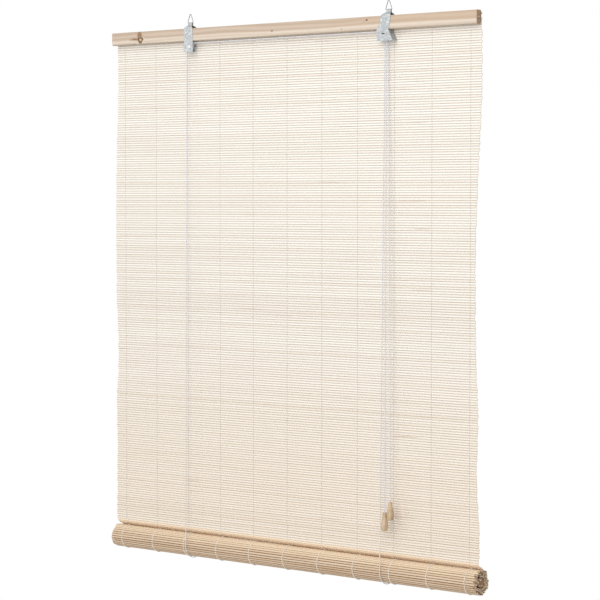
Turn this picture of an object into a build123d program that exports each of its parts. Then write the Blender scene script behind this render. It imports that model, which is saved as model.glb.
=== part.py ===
from build123d import *
import math
import os

os.makedirs("parts", exist_ok=True)

# Overall sizes in millimetres; the hooks hold the rings at the origin, +X right, -Y to the room, +Z up
blind_width = 1000.0
hanging_drop = 1165.5
ring_spacing = 545.0
blind_offset = -5.0

# Clearances and one overrun for all cuts
running_gap = 0.3
rivet_gap = 0.1
cut_overrun = 5.0

# Hanging rings, bent from round wire, with their ends butting inside the knuckle
ring_wire = 2.0
ring_width = 17.0
ring_corner_height = 24.0
ring_bend = 2.2
ring_butt_gap = 0.4

# Head rail
rail_height = 28.0
rail_depth = 14.5
rail_front_round = 4.0
rail_back_round = 1.0
rail_below_knuckle = 11.5

# Folded sheet brackets
sheet = 0.9
sheet_bend = 1.6
corner_round = 1.5
neck_width = 12.0
neck_length = 5.0
shoulder_rise = 2.6
bracket_drop = 23.0
left_shoulder_width = 25.0
left_foot_width = 27.0
left_wall_top = 5.6
left_wall_foot = 17.0
left_wall_depth = 6.0
left_back_reach = 4.0
lock_left_shoulder = 15.0
lock_left_waist = 17.4
lock_left_foot = 25.2
lock_left_waist_drop = 18.0
lock_left_step_drop = 24.5
lock_right_shoulder = 10.0
lock_right_waist = 4.7
lock_right_foot = 15.0
lock_right_waist_drop = 12.0
lock_lip_length = 9.5
lock_slot_length = 8.0

# Nails through the brackets into the rail
nail_diameter = 2.0
nail_head_diameter = 5.0
nail_head_thickness = 1.0
nail_length = 10.0
nail_first_drop = 9.0
nail_second_drop = 14.0
left_nail_reach = 6.0
lock_nail_left_reach = 11.5
lock_nail_right_reach = 5.0

# Cords and pulleys
cord_diameter = 2.0
crossing_drop = 4.0
cord_plane_reach = 3.6
rivet_diameter = 3.0
rivet_head_diameter = 11.0
rivet_head_crown = 1.6
lock_pin_diameter = 2.0
left_groove_radius = 7.0
left_flange_radius = 9.6
lock_groove_radius = 3.6
lock_flange_radius = 5.5
pulley_rim = 0.8
groove_floor = 1.6
hub_radius = 3.2
lock_axle_offset = 8.5
cord_stub = 2.0
cord_lead = 45.0
lead_share = 0.45

# Serrated lock roller in its wedge
roller_radius = 4.5
roller_tooth = 0.6
roller_teeth = 18

# Bamboo mat
stick_pitch = 5.1
stick_thickness = 1.8
stick_gap = 1.2
web_thickness = 0.5
mat_gap_height = 0.4
gap_start_count = 6
gap_stop_count = 8
mat_below_rail_top = 3.0
mat_bend = 10.0
thread_count = 11
thread_edge = 25.0
thread_width = 1.2
thread_thickness = 0.5

# Rolled part of the mat
roll_radius = 27.0
roll_behind_mat = 8.0
roll_turns = 6.0
turn_gap = 0.4
leave_angle = 60.0
batten_width = 24.2
batten_inset = 4.0
batten_thickness = 9.0
batten_round = 4.0

# Staples and anchor nails at the back of the rail
staple_crown = 10.0
staple_wire = 1.0
staple_leg = 8.0
anchor_reach = 6.0
anchor_drop = 20.0
anchor_diameter = 2.0
anchor_head_diameter = 6.0
anchor_head_thickness = 1.0
anchor_depth = 7.0
knot_ring_radius = 2.4

# Tassels on the pull cords
tassel_length = 36.5
tassel_top_radius = 4.5
tassel_shoulder_radius = 5.2
tassel_belly_radius = 7.4
tassel_foot_radius = 5.6
tassel_belly_share = 0.72
tassel_shoulder_share = 0.3
tassel_bore_gap = 0.7
tassel_knot_radius = 2.4
tassel_recess_depth = 5.2
tassel_y = -17.4
left_tassel_x = 277.0
right_tassel_x = 291.5
left_tassel_top = -1044.5
right_tassel_top = -1021.0

# Heights and planes that the pieces share
ring_half_angle = math.atan2(ring_width / 2, ring_corner_height)
ring_apex_height = ring_corner_height - ring_bend * (1 / math.sin(ring_half_angle) - 1)
knuckle_z = ring_wire / 2 - ring_apex_height
knuckle_inner = ring_wire / 2 + running_gap
rail_top = knuckle_z - rail_below_knuckle
rail_bottom = rail_top - rail_height
rail_back = rail_depth / 2
bracket_bottom = rail_bottom - bracket_drop
front_face = -rail_back - sheet
back_face = rail_back + sheet
blind_left = blind_offset - blind_width / 2
thread_reach = blind_width - 2 * thread_edge
thread_spacing = thread_reach / (thread_count - 1)
left_x = -ring_spacing / 2
right_x = ring_spacing / 2
cord_radius = cord_diameter / 2
front_plane = -cord_plane_reach
rear_plane = cord_plane_reach
pulley_width = 2 * (rail_back - cord_plane_reach - running_gap / 2)
crossing_z = rail_bottom - crossing_drop
left_pitch = left_groove_radius + running_gap / 2 + cord_radius
lock_pitch = lock_groove_radius + running_gap / 2 + cord_radius
left_axle_z = crossing_z - left_pitch
lock_axle_x = right_x - lock_axle_offset
lock_axle_z = crossing_z - lock_pitch
left_loop_x = left_x - left_pitch
right_loop_x = lock_axle_x - lock_pitch
pull_x = lock_axle_x + lock_pitch
mat_y = back_face + running_gap + thread_thickness + stick_thickness / 2
mat_back = mat_y + stick_thickness / 2
mat_top = rail_top - mat_below_rail_top
roll_y = mat_y + roll_behind_mat
roll_z = rail_top - hanging_drop + roll_radius
roll_middle = roll_radius - stick_thickness / 2
turn_pitch = stick_thickness + turn_gap
back_cord_y = mat_back + thread_thickness + running_gap + cord_radius
anchor_z = rail_top - anchor_drop

# The hanging mat's middle line in side view: down behind the rail, then back over the roll
leave_y = roll_y + roll_middle * math.cos(math.radians(leave_angle))
leave_z = roll_z + roll_middle * math.sin(math.radians(leave_angle))
bend_z = leave_z + (leave_y - mat_y) / math.tan(math.radians(leave_angle))
with BuildLine() as mat_line:
    FilletPolyline((mat_y, mat_top), (mat_y, bend_z), (leave_y, leave_z), radius=mat_bend)
mat_path = mat_line.wire()
mat_length = mat_path.length
mat_sticks = int((mat_length - running_gap) / stick_pitch)
mat_gap_count = (mat_sticks - gap_start_count - gap_stop_count) // 2 + 1


def mat_point(distance, offset):
    # A point beside the mat's middle line, towards the back for a positive offset
    at = mat_path.position_at(distance, position_mode=PositionMode.LENGTH)
    along = mat_path.tangent_at(distance, position_mode=PositionMode.LENGTH)
    return (at.X - along.Y * offset, at.Y + along.X * offset)


def roll_point(turned, offset):
    # A point beside the spiral, outwards for a positive offset, wound clockwise seen from +X
    reach = roll_middle - turn_pitch * turned / (2 * math.pi) + offset
    angle = math.radians(leave_angle) - turned
    return (roll_y + reach * math.cos(angle), roll_z + reach * math.sin(angle))


def ridged_outline(starts, ends, point):
    # One side of the sticks out and the other back, with a groove between neighbours
    half = stick_thickness / 2
    web = web_thickness / 2
    out = []
    back = []
    for i, (start, end) in enumerate(zip(starts, ends)):
        out += [point(start, half), point(end, half)]
        back += [point(start, -half), point(end, -half)]
        if i + 1 < len(starts):
            middle = (end + starts[i + 1]) / 2
            out.append(point(middle, web))
            back.append(point(middle, -web))
    return out + back[::-1]


def write_piece(builder, name):
    builder.part.label = name
    export_step(builder.part, f"parts/{name}.step")


# Hanging rings
def hanging_ring(centre_x):
    half = ring_width / 2
    with BuildPart() as ring:
        with BuildLine(Plane.XZ) as wire:
            FilletPolyline(
                (centre_x + ring_butt_gap / 2, knuckle_z),
                (centre_x + half, knuckle_z),
                (centre_x, knuckle_z + ring_corner_height),
                (centre_x - half, knuckle_z),
                (centre_x - ring_butt_gap / 2, knuckle_z),
                radius=ring_bend,
            )
        with BuildSketch(Plane(origin=wire.wire() @ 0, z_dir=wire.wire() % 0)):
            Circle(ring_wire / 2)
        sweep()
    return ring


for side, centre_x in (("left", left_x), ("right", right_x)):
    write_piece(hanging_ring(centre_x), f"{side}_hanging_ring")

# Head rail, with its room edges rounded
with BuildPart() as head_rail:
    with BuildSketch(Plane.YZ.offset(blind_left)) as rail_section:
        with Locations((0, rail_top - rail_height / 2)):
            Rectangle(rail_depth, rail_height)
        fillet(rail_section.vertices().group_by(Axis.Y)[0], rail_front_round)
        fillet(rail_section.vertices().group_by(Axis.Y)[-1], rail_back_round)
    extrude(amount=blind_width)
write_piece(head_rail, "head_rail")


# Brackets: a strip folded into a hairpin over the rail, with the ring's wire in the fold
def folded_bracket(centre_x, left_reach, right_reach, outline):
    neck_z = knuckle_z - neck_length
    shoulder_z = rail_top + shoulder_rise
    with BuildPart() as bracket:
        with BuildSketch(Plane.YZ.offset(centre_x - left_reach)):
            with BuildLine():
                FilletPolyline(
                    (-rail_back, bracket_bottom),
                    (-rail_back, shoulder_z),
                    (-knuckle_inner, neck_z),
                    (-knuckle_inner, knuckle_z),
                    radius=sheet_bend,
                )
                ThreePointArc(
                    (-knuckle_inner, knuckle_z),
                    (0, knuckle_z + knuckle_inner),
                    (knuckle_inner, knuckle_z),
                )
                FilletPolyline(
                    (knuckle_inner, knuckle_z),
                    (knuckle_inner, neck_z),
                    (rail_back, shoulder_z),
                    (rail_back, bracket_bottom),
                    radius=sheet_bend,
                )
                offset(amount=sheet, side=Side.LEFT)
            make_face()
        extrude(amount=left_reach + right_reach)
        with BuildSketch(Plane.XZ.offset(-back_face - cut_overrun)) as front_view:
            with BuildLine():
                Polyline(*[(centre_x + x, z) for x, z in outline], close=True)
            make_face()
            fillet(front_view.vertices().group_by(Axis.Z)[0], corner_round)
        extrude(amount=back_face - front_face + 2 * cut_overrun, mode=Mode.INTERSECT)
    return bracket


bracket_top = knuckle_z + knuckle_inner + sheet + cut_overrun
left_outline = [
    (-neck_width / 2, bracket_top),
    (neck_width / 2, bracket_top),
    (neck_width / 2, knuckle_z - neck_length),
    (left_shoulder_width / 2, rail_top),
    (left_foot_width / 2, bracket_bottom),
    (-left_foot_width / 2, bracket_bottom),
    (-left_shoulder_width / 2, rail_top),
    (-neck_width / 2, knuckle_z - neck_length),
]
lock_outline = [
    (-neck_width / 2, bracket_top),
    (neck_width / 2, bracket_top),
    (neck_width / 2, knuckle_z - neck_length),
    (lock_right_shoulder, rail_top),
    (lock_right_shoulder, rail_top - lock_right_waist_drop),
    (lock_right_waist, rail_bottom),
    (lock_right_foot, bracket_bottom),
    (-lock_left_foot, bracket_bottom),
    (-lock_left_foot, rail_top - lock_left_step_drop),
    (-lock_left_waist, rail_top - lock_left_waist_drop),
    (-lock_left_shoulder, rail_top),
    (-neck_width / 2, knuckle_z - neck_length),
]
left_nails = [
    (left_x - left_nail_reach, rail_top - nail_first_drop),
    (left_x + left_nail_reach, rail_top - nail_second_drop),
]
lock_nails = [
    (right_x - lock_nail_left_reach, rail_top - nail_first_drop),
    (right_x + lock_nail_right_reach, rail_top - nail_second_drop),
]

# Left bracket: a short side wall by its pulley, a narrower back, holes for its nails and rivet
left_blank = folded_bracket(left_x, left_foot_width, left_foot_width, left_outline)
left_wall_x = left_x + left_shoulder_width / 2 - sheet / 2
wall_spread = left_wall_foot - left_wall_top
with BuildPart() as left_bracket:
    add(left_blank.part)
    with BuildSketch(Plane.XZ.offset(rail_back - left_wall_depth)):
        with Locations((left_wall_x, rail_bottom - left_wall_top - wall_spread / 2)):
            Rectangle(sheet, wall_spread)
    extrude(amount=left_wall_depth)
    with BuildSketch(Plane.XZ.offset(-back_face - cut_overrun)):
        with Locations((left_x + left_back_reach, rail_bottom)):
            Rectangle(left_foot_width, bracket_drop + cut_overrun, align=(Align.MIN, Align.MAX))
    extrude(amount=2 * cut_overrun, mode=Mode.SUBTRACT)
    with BuildSketch(Plane.XZ.offset(-front_face - cut_overrun)):
        with Locations(*left_nails):
            Circle(nail_diameter / 2 + rivet_gap)
    extrude(amount=2 * cut_overrun, mode=Mode.SUBTRACT)
    with BuildSketch(Plane.XZ.offset(-back_face - cut_overrun)):
        with Locations((left_x + anchor_reach, anchor_z)):
            Circle(anchor_diameter / 2 + rivet_gap)
    extrude(amount=2 * cut_overrun, mode=Mode.SUBTRACT)
    with BuildSketch(Plane.XZ.offset(-back_face - cut_overrun)):
        with Locations((left_x, left_axle_z)):
            Circle(rivet_diameter / 2 + rivet_gap)
    extrude(amount=back_face - front_face + 2 * cut_overrun, mode=Mode.SUBTRACT)
write_piece(left_bracket, "left_bracket")

# Cord lock bracket: the same fold with a slanted side wall and a lip that hold the roller
wall_run = lock_right_foot - lock_right_waist
wall_slope = math.hypot(wall_run, bracket_drop)
wall_across = sheet * wall_slope / bracket_drop
lock_blank = folded_bracket(right_x, lock_left_foot, lock_right_foot, lock_outline)
with BuildPart() as lock_bracket:
    add(lock_blank.part)
    with BuildSketch(Plane.XZ.offset(-rail_back)):
        with BuildLine():
            Polyline(
                (right_x + lock_right_waist, rail_bottom),
                (right_x + lock_right_foot, bracket_bottom),
                (right_x + lock_right_foot - lock_lip_length, bracket_bottom),
                (right_x + lock_right_foot - lock_lip_length, bracket_bottom + sheet),
                (right_x + lock_right_foot - wall_across - sheet * wall_run / bracket_drop,
                 bracket_bottom + sheet),
                (right_x + lock_right_waist - wall_across, rail_bottom),
                close=True,
            )
        make_face()
    extrude(amount=rail_depth)
    with BuildSketch(Plane.XZ.offset(-front_face - cut_overrun)):
        with Locations(*lock_nails):
            Circle(nail_diameter / 2 + rivet_gap)
        with Locations((lock_axle_x, lock_axle_z)):
            SlotOverall(lock_slot_length, lock_pin_diameter + 2 * rivet_gap)
    extrude(amount=2 * cut_overrun, mode=Mode.SUBTRACT)
    with BuildSketch(Plane.XZ.offset(-back_face - cut_overrun)):
        with Locations((right_x + anchor_reach, anchor_z)):
            Circle(anchor_diameter / 2 + rivet_gap)
        with Locations((lock_axle_x, lock_axle_z)):
            Circle(lock_pin_diameter / 2 + rivet_gap)
    extrude(amount=2 * cut_overrun, mode=Mode.SUBTRACT)
write_piece(lock_bracket, "lock_bracket")

# Nails through the front of both brackets into the rail
with BuildPart() as bracket_nails:
    with BuildSketch(Plane.XZ.offset(-front_face)):
        with Locations(*left_nails, *lock_nails):
            Circle(nail_head_diameter / 2)
    extrude(amount=nail_head_thickness)
    with BuildSketch(Plane.XZ.offset(-front_face)):
        with Locations(*left_nails, *lock_nails):
            Circle(nail_diameter / 2)
    extrude(amount=-nail_length)
write_piece(bracket_nails, "bracket_nails")


# Pulleys turn about axles that run front to back
def axle_plane(axle_x, axle_z):
    return Plane(origin=(axle_x, 0, axle_z), x_dir=(0, 1, 0), z_dir=(1, 0, 0))


def pulley(axle_x, axle_z, centre_y, groove, flange, bore, hub_end):
    near = centre_y - pulley_width / 2
    far = centre_y + pulley_width / 2
    with BuildPart() as wheel:
        with BuildSketch(axle_plane(axle_x, axle_z)):
            with BuildLine():
                Polyline(
                    (near, bore),
                    (near, flange),
                    (near + pulley_rim, flange),
                    (centre_y - groove_floor / 2, groove),
                    (centre_y + groove_floor / 2, groove),
                    (far - pulley_rim, flange),
                    (far, flange),
                    (far, bore),
                    close=True,
                )
            make_face()
            if hub_end is not None:
                with Locations(((far + hub_end) / 2, (bore + hub_radius) / 2)):
                    Rectangle(hub_end - far, hub_radius - bore)
        revolve(axis=Axis((axle_x, 0, axle_z), (0, 1, 0)))
    return wheel


left_bore = rivet_diameter / 2 + rivet_gap
lock_bore = lock_pin_diameter / 2 + rivet_gap
left_hub_end = rail_back - running_gap
left_pulley = pulley(
    left_x, left_axle_z, front_plane, left_groove_radius, left_flange_radius, left_bore, left_hub_end
)
write_piece(left_pulley, "left_pulley")
for name, plane_y in (("front_lock_pulley", front_plane), ("rear_lock_pulley", rear_plane)):
    wheel = pulley(
        lock_axle_x, lock_axle_z, plane_y, lock_groove_radius, lock_flange_radius, lock_bore, None
    )
    write_piece(wheel, name)

# Left pulley's rivet, with a domed head in front
head_radius = rivet_head_diameter / 2
dome_radius = (head_radius**2 + rivet_head_crown**2) / (2 * rivet_head_crown)
dome_angle = math.asin(head_radius / dome_radius)
with BuildPart() as left_pulley_rivet:
    with BuildSketch(axle_plane(left_x, left_axle_z)):
        with BuildLine():
            Polyline(
                (front_face - rivet_head_crown, 0),
                (back_face, 0),
                (back_face, rivet_diameter / 2),
                (front_face, rivet_diameter / 2),
                (front_face, head_radius),
            )
            ThreePointArc(
                (front_face, head_radius),
                (
                    front_face - rivet_head_crown + dome_radius * (1 - math.cos(dome_angle / 2)),
                    dome_radius * math.sin(dome_angle / 2),
                ),
                (front_face - rivet_head_crown, 0),
            )
        make_face()
    revolve(axis=Axis((left_x, 0, left_axle_z), (0, 1, 0)))
write_piece(left_pulley_rivet, "left_pulley_rivet")

# Lock pulleys' pin, flush with both plates
with BuildPart() as lock_pulley_pin:
    with BuildSketch(Plane.XZ.offset(-back_face)):
        with Locations((lock_axle_x, lock_axle_z)):
            Circle(lock_pin_diameter / 2)
    extrude(amount=back_face - front_face)
write_piece(lock_pulley_pin, "lock_pulley_pin")

# Lock roller, resting between the cords and the slanted wall
roller_x = pull_x + cord_radius + running_gap / 2 + roller_radius
wall_inner_x = right_x + lock_right_waist - wall_across
roller_fall = (roller_radius + running_gap) * wall_slope - (wall_inner_x - roller_x) * bracket_drop
roller_z = rail_bottom - roller_fall / wall_run
roller_rim = []
for i in range(2 * roller_teeth):
    roller_rim.append((roller_radius - roller_tooth * (i % 2), math.pi * i / roller_teeth))
with BuildPart() as lock_roller:
    with BuildSketch(Plane.XZ.offset(-rail_back + running_gap)):
        with BuildLine():
            Polyline(
                *[(roller_x + r * math.cos(a), roller_z + r * math.sin(a)) for r, a in roller_rim],
                close=True,
            )
        make_face()
    extrude(amount=rail_depth - 2 * running_gap)
write_piece(lock_roller, "lock_roller")

# Hanging mat: one ridged wall, with gaps between every second pair of sticks
stick_starts = [i * stick_pitch + stick_gap / 2 for i in range(mat_sticks)]
stick_ends = [(i + 1) * stick_pitch - stick_gap / 2 for i in range(mat_sticks)]
with BuildPart() as hanging_mat:
    with BuildSketch(Plane.YZ.offset(blind_left)):
        with BuildLine():
            Polyline(*ridged_outline(stick_starts, stick_ends, mat_point), close=True)
        make_face()
    extrude(amount=blind_width)
    first_gap_z = mat_top - gap_start_count * stick_pitch
    with BuildSketch(Plane.XZ.offset(-mat_back - cut_overrun)):
        with Locations(*[(blind_offset, first_gap_z - 2 * stick_pitch * i) for i in range(mat_gap_count)]):
            Rectangle(thread_reach, mat_gap_height)
    extrude(amount=stick_thickness + 2 * cut_overrun, mode=Mode.SUBTRACT)
write_piece(hanging_mat, "hanging_mat")

# Warp threads on both faces of the mat
straight_end = mat_top - bend_z - mat_bend
with BuildPart() as warp_threads:
    for side in (-1, 1):
        inner = mat_y + side * stick_thickness / 2
        with BuildSketch(Plane.XY.offset(mat_top - straight_end)):
            with Locations((blind_offset, inner + side * thread_thickness / 2)):
                with GridLocations(thread_spacing, 0, thread_count, 1):
                    Rectangle(thread_width, thread_thickness)
        extrude(amount=straight_end)
write_piece(warp_threads, "warp_threads")

# Rolled part of the mat: the same sticks wound into one spiral
turn_marks = [0.0]
while turn_marks[-1] < 2 * math.pi * roll_turns:
    reach = roll_middle - turn_pitch * turn_marks[-1] / (2 * math.pi)
    turn_marks.append(turn_marks[-1] + stick_pitch / reach)
gap_share = stick_gap / stick_pitch / 2
roll_starts = [a + (b - a) * gap_share for a, b in zip(turn_marks, turn_marks[1:])]
roll_ends = [b - (b - a) * gap_share for a, b in zip(turn_marks, turn_marks[1:])]
with BuildPart() as rolled_mat:
    with BuildSketch(Plane.YZ.offset(blind_left)):
        with BuildLine():
            Polyline(*ridged_outline(roll_starts, roll_ends, roll_point), close=True)
        make_face()
    extrude(amount=blind_width)
write_piece(rolled_mat, "rolled_mat")

# Bottom batten in the middle of the roll, rounded on one face
with BuildPart() as bottom_batten:
    with BuildSketch(Plane.YZ.offset(blind_left + batten_inset)) as batten_section:
        with Locations((roll_y, roll_z)):
            Rectangle(batten_width, batten_thickness)
        fillet(batten_section.vertices().group_by(Axis.Z)[-1], batten_round)
    extrude(amount=blind_width - 2 * batten_inset)
write_piece(bottom_batten, "bottom_batten")

# Staples that hold the mat to the back of the rail, midway between the warp threads
with BuildPart() as mat_staples:
    staple_y = mat_back + staple_wire / 2
    for i in range(thread_count - 1):
        staple_x = blind_offset + thread_spacing * (i + 1 - thread_count / 2)
        with Locations((staple_x, staple_y, anchor_z)):
            Box(staple_crown, staple_wire, staple_wire)
        for end in (-1, 1):
            leg_x = staple_x + end * (staple_crown - staple_wire) / 2
            with Locations((leg_x, staple_y - staple_leg / 2, anchor_z)):
                Box(staple_wire, staple_leg, staple_wire)
write_piece(mat_staples, "mat_staples")

# Anchor nails for the back cords, driven through the mat
anchors = [(left_x + anchor_reach, anchor_z), (right_x + anchor_reach, anchor_z)]
anchor_head_y = back_cord_y + cord_radius + running_gap
with BuildPart() as cord_anchor_nails:
    with BuildSketch(Plane.XZ.offset(-anchor_head_y)):
        with Locations(*anchors):
            Circle(anchor_head_diameter / 2)
    extrude(amount=-anchor_head_thickness)
    with BuildSketch(Plane.XZ.offset(-anchor_head_y)):
        with Locations(*anchors):
            Circle(anchor_diameter / 2)
    extrude(amount=anchor_head_y - rail_back + anchor_depth)
write_piece(cord_anchor_nails, "cord_anchor_nails")

# Knots of the back cords, one loop round each anchor nail
with BuildPart() as back_cord_knots:
    for x, z in anchors:
        with Locations(Plane(origin=(x, back_cord_y, z), z_dir=(0, 1, 0))):
            Torus(knot_ring_radius, cord_radius)
write_piece(back_cord_knots, "back_cord_knots")


# Cords, as straight runs joined by tangent arcs
def cord_along(*pieces):
    with BuildPart() as cord:
        with BuildLine() as route:
            for piece in pieces:
                add(piece)
        with BuildSketch(Plane(origin=route.wire() @ 0, z_dir=route.wire() % 0)):
            Circle(cord_radius)
        sweep()
    return cord


def tight_cord(*points):
    # A cord pulled straight, easing into its end runs with the widest bends that fit
    runs = [Vector(*b) - Vector(*a) for a, b in zip(points, points[1:])]
    radii = []
    for a, b in zip(runs, runs[1:]):
        half_turn = math.radians(a.get_angle(b) / 2)
        radii.append(lead_share * min(a.length, b.length) / math.tan(half_turn))
    with BuildLine() as route:
        FilletPolyline(*points, radius=radii)
    print(f"cord {route.wire().length:.0f} mm long, bends {[round(r) for r in radii]} mm")
    return cord_along(route.line)


bend_radius = roll_radius + running_gap + cord_radius
for side, loop_x, top_y, top_z, anchor_x in (
    ("left", left_loop_x, front_plane, left_axle_z - cord_stub, left_x + anchor_reach),
    ("right", right_loop_x, rear_plane, lock_axle_z - cord_stub, right_x + anchor_reach),
):
    with BuildLine(Plane.YZ.offset(loop_x)) as under_roll:
        CenterArc((roll_y, roll_z), bend_radius, 180, 180)
    write_piece(cord_along(under_roll.line), f"{side}_cord_bend")
    front_run = tight_cord(
        (loop_x, top_y, top_z),
        (loop_x, top_y, top_z - cord_lead),
        (loop_x, roll_y - bend_radius, roll_z + cord_lead),
        (loop_x, roll_y - bend_radius, roll_z),
    )
    write_piece(front_run, f"{side}_front_cord")
    back_run = tight_cord(
        (anchor_x, back_cord_y, anchor_z - knot_ring_radius),
        (loop_x, roll_y + bend_radius, roll_z + cord_lead),
        (loop_x, roll_y + bend_radius, roll_z),
    )
    write_piece(back_run, f"{side}_back_cord")

# Crossing cord: over the left pulley, along under the rail and over the front lock pulley
with BuildLine(Plane.XZ.offset(-front_plane)) as crossing_line:
    Line((left_loop_x, left_axle_z - cord_stub), (left_loop_x, left_axle_z))
    CenterArc((left_x, left_axle_z), left_pitch, 180, -90)
    Line((left_x, crossing_z), (lock_axle_x, crossing_z))
    CenterArc((lock_axle_x, lock_axle_z), lock_pitch, 90, -90)
    Line((pull_x, lock_axle_z), (pull_x, lock_axle_z - cord_stub))
write_piece(cord_along(crossing_line.line), "crossing_cord")

# The right loop's cord over the rear lock pulley
with BuildLine(Plane.XZ.offset(-rear_plane)) as turn_line:
    Line((right_loop_x, lock_axle_z - cord_stub), (right_loop_x, lock_axle_z))
    CenterArc((lock_axle_x, lock_axle_z), lock_pitch, 180, -180)
    Line((pull_x, lock_axle_z), (pull_x, lock_axle_z - cord_stub))
write_piece(cord_along(turn_line.line), "lock_turn_cord")

# Pull cords, pulled straight by their tassels, and the knots they end in
for side, plane_y, tassel_x, tassel_top in (
    ("left", front_plane, left_tassel_x, left_tassel_top),
    ("right", rear_plane, right_tassel_x, right_tassel_top),
):
    tassel_bottom = tassel_top - tassel_length
    knot_z = tassel_bottom + tassel_recess_depth - tassel_knot_radius - running_gap
    pull_run = tight_cord(
        (pull_x, plane_y, lock_axle_z - cord_stub),
        (pull_x, plane_y, lock_axle_z - cord_stub - cord_lead),
        (tassel_x, tassel_y, tassel_top + cord_lead),
        (tassel_x, tassel_y, knot_z + tassel_knot_radius),
    )
    write_piece(pull_run, f"{side}_pull_cord")

    with BuildPart() as tassel:
        with BuildSketch(Plane((tassel_x, tassel_y, tassel_bottom), x_dir=(1, 0, 0), z_dir=(0, -1, 0))):
            with BuildLine():
                bore = cord_radius + tassel_bore_gap
                recess = tassel_knot_radius + running_gap
                Polyline(
                    (bore, tassel_length),
                    (bore, tassel_recess_depth),
                    (recess, tassel_recess_depth),
                    (recess, 0),
                    (tassel_foot_radius, 0),
                )
                Spline(
                    (tassel_foot_radius, 0),
                    (tassel_belly_radius, tassel_length * (1 - tassel_belly_share)),
                    (tassel_shoulder_radius, tassel_length * (1 - tassel_shoulder_share)),
                    (tassel_top_radius, tassel_length),
                )
                Line((tassel_top_radius, tassel_length), (bore, tassel_length))
            make_face()
        revolve(axis=Axis((tassel_x, tassel_y, 0), (0, 0, 1)))
    write_piece(tassel, f"{side}_tassel")

    with BuildPart() as knot:
        with Locations((tassel_x, tassel_y, knot_z)):
            Sphere(tassel_knot_radius)
    write_piece(knot, f"{side}_tassel_knot")
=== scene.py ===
import math
import random

import bpy
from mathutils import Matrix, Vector


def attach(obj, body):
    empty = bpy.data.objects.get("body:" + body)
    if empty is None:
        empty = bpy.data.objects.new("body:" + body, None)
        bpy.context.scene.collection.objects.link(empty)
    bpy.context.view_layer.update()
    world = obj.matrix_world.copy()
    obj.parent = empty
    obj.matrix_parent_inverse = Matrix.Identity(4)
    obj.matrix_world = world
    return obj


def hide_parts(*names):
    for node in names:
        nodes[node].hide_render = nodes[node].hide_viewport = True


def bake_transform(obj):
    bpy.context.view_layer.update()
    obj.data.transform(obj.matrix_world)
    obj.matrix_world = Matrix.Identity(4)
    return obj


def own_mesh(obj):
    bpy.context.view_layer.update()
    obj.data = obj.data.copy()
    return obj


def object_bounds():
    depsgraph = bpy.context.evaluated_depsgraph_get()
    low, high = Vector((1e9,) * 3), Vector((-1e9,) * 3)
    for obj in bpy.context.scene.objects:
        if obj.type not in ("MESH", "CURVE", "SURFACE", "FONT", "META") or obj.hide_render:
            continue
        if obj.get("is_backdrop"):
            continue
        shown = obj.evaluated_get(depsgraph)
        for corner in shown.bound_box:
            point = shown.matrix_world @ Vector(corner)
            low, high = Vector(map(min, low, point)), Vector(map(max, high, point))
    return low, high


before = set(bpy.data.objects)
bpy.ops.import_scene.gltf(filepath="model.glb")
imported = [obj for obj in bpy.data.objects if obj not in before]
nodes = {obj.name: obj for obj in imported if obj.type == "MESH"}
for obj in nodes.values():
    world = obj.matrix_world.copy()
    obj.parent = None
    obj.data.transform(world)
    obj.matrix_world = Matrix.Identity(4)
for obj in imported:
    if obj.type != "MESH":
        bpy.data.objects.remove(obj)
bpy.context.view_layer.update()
scene = bpy.context.scene
scene.view_settings.view_transform = "Standard"
print("frame loaded")


def colour(red, green, blue):
    # Screen values from 0 to 255 as a linear colour
    parts = []
    for value in (red, green, blue):
        share = value / 255
        parts.append(share / 12.92 if share <= 0.04045 else ((share + 0.055) / 1.055) ** 2.4)
    return (*parts, 1.0)


class Value:
    # One output of a shader node, with the usual arithmetic
    def __init__(self, graph, socket):
        self.graph = graph
        self.socket = socket

    def maths(self, operation, *inputs):
        return self.graph.make("ShaderNodeMath", {"operation": operation}, dict(enumerate(inputs)))

    def __add__(self, other):
        return self.maths("ADD", self, other)

    def __radd__(self, other):
        return self.maths("ADD", other, self)

    def __sub__(self, other):
        return self.maths("SUBTRACT", self, other)

    def __rsub__(self, other):
        return self.maths("SUBTRACT", other, self)

    def __mul__(self, other):
        return self.maths("MULTIPLY", self, other)

    def __rmul__(self, other):
        return self.maths("MULTIPLY", other, self)

    def __truediv__(self, other):
        return self.maths("DIVIDE", self, other)

    def __rtruediv__(self, other):
        return self.maths("DIVIDE", other, self)

    def __pow__(self, other):
        return self.maths("POWER", self, other)

    def __rpow__(self, other):
        return self.maths("POWER", other, self)

    def absolute(self):
        return self.maths("ABSOLUTE", self)

    def larger(self, other):
        return self.maths("MAXIMUM", self, other)

    def waved(self):
        # A sine wave between 0 and 1
        return self.maths("SINE", self) * 0.5 + 0.5

    def smooth(self, low, high, start=0.0, end=1.0):
        # From start at low to end at high, eased at both
        return self.graph.make(
            "ShaderNodeMapRange",
            {"interpolation_type": "SMOOTHSTEP"},
            {"Value": self, "From Min": low, "From Max": high, "To Min": start, "To Max": end},
        )


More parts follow.
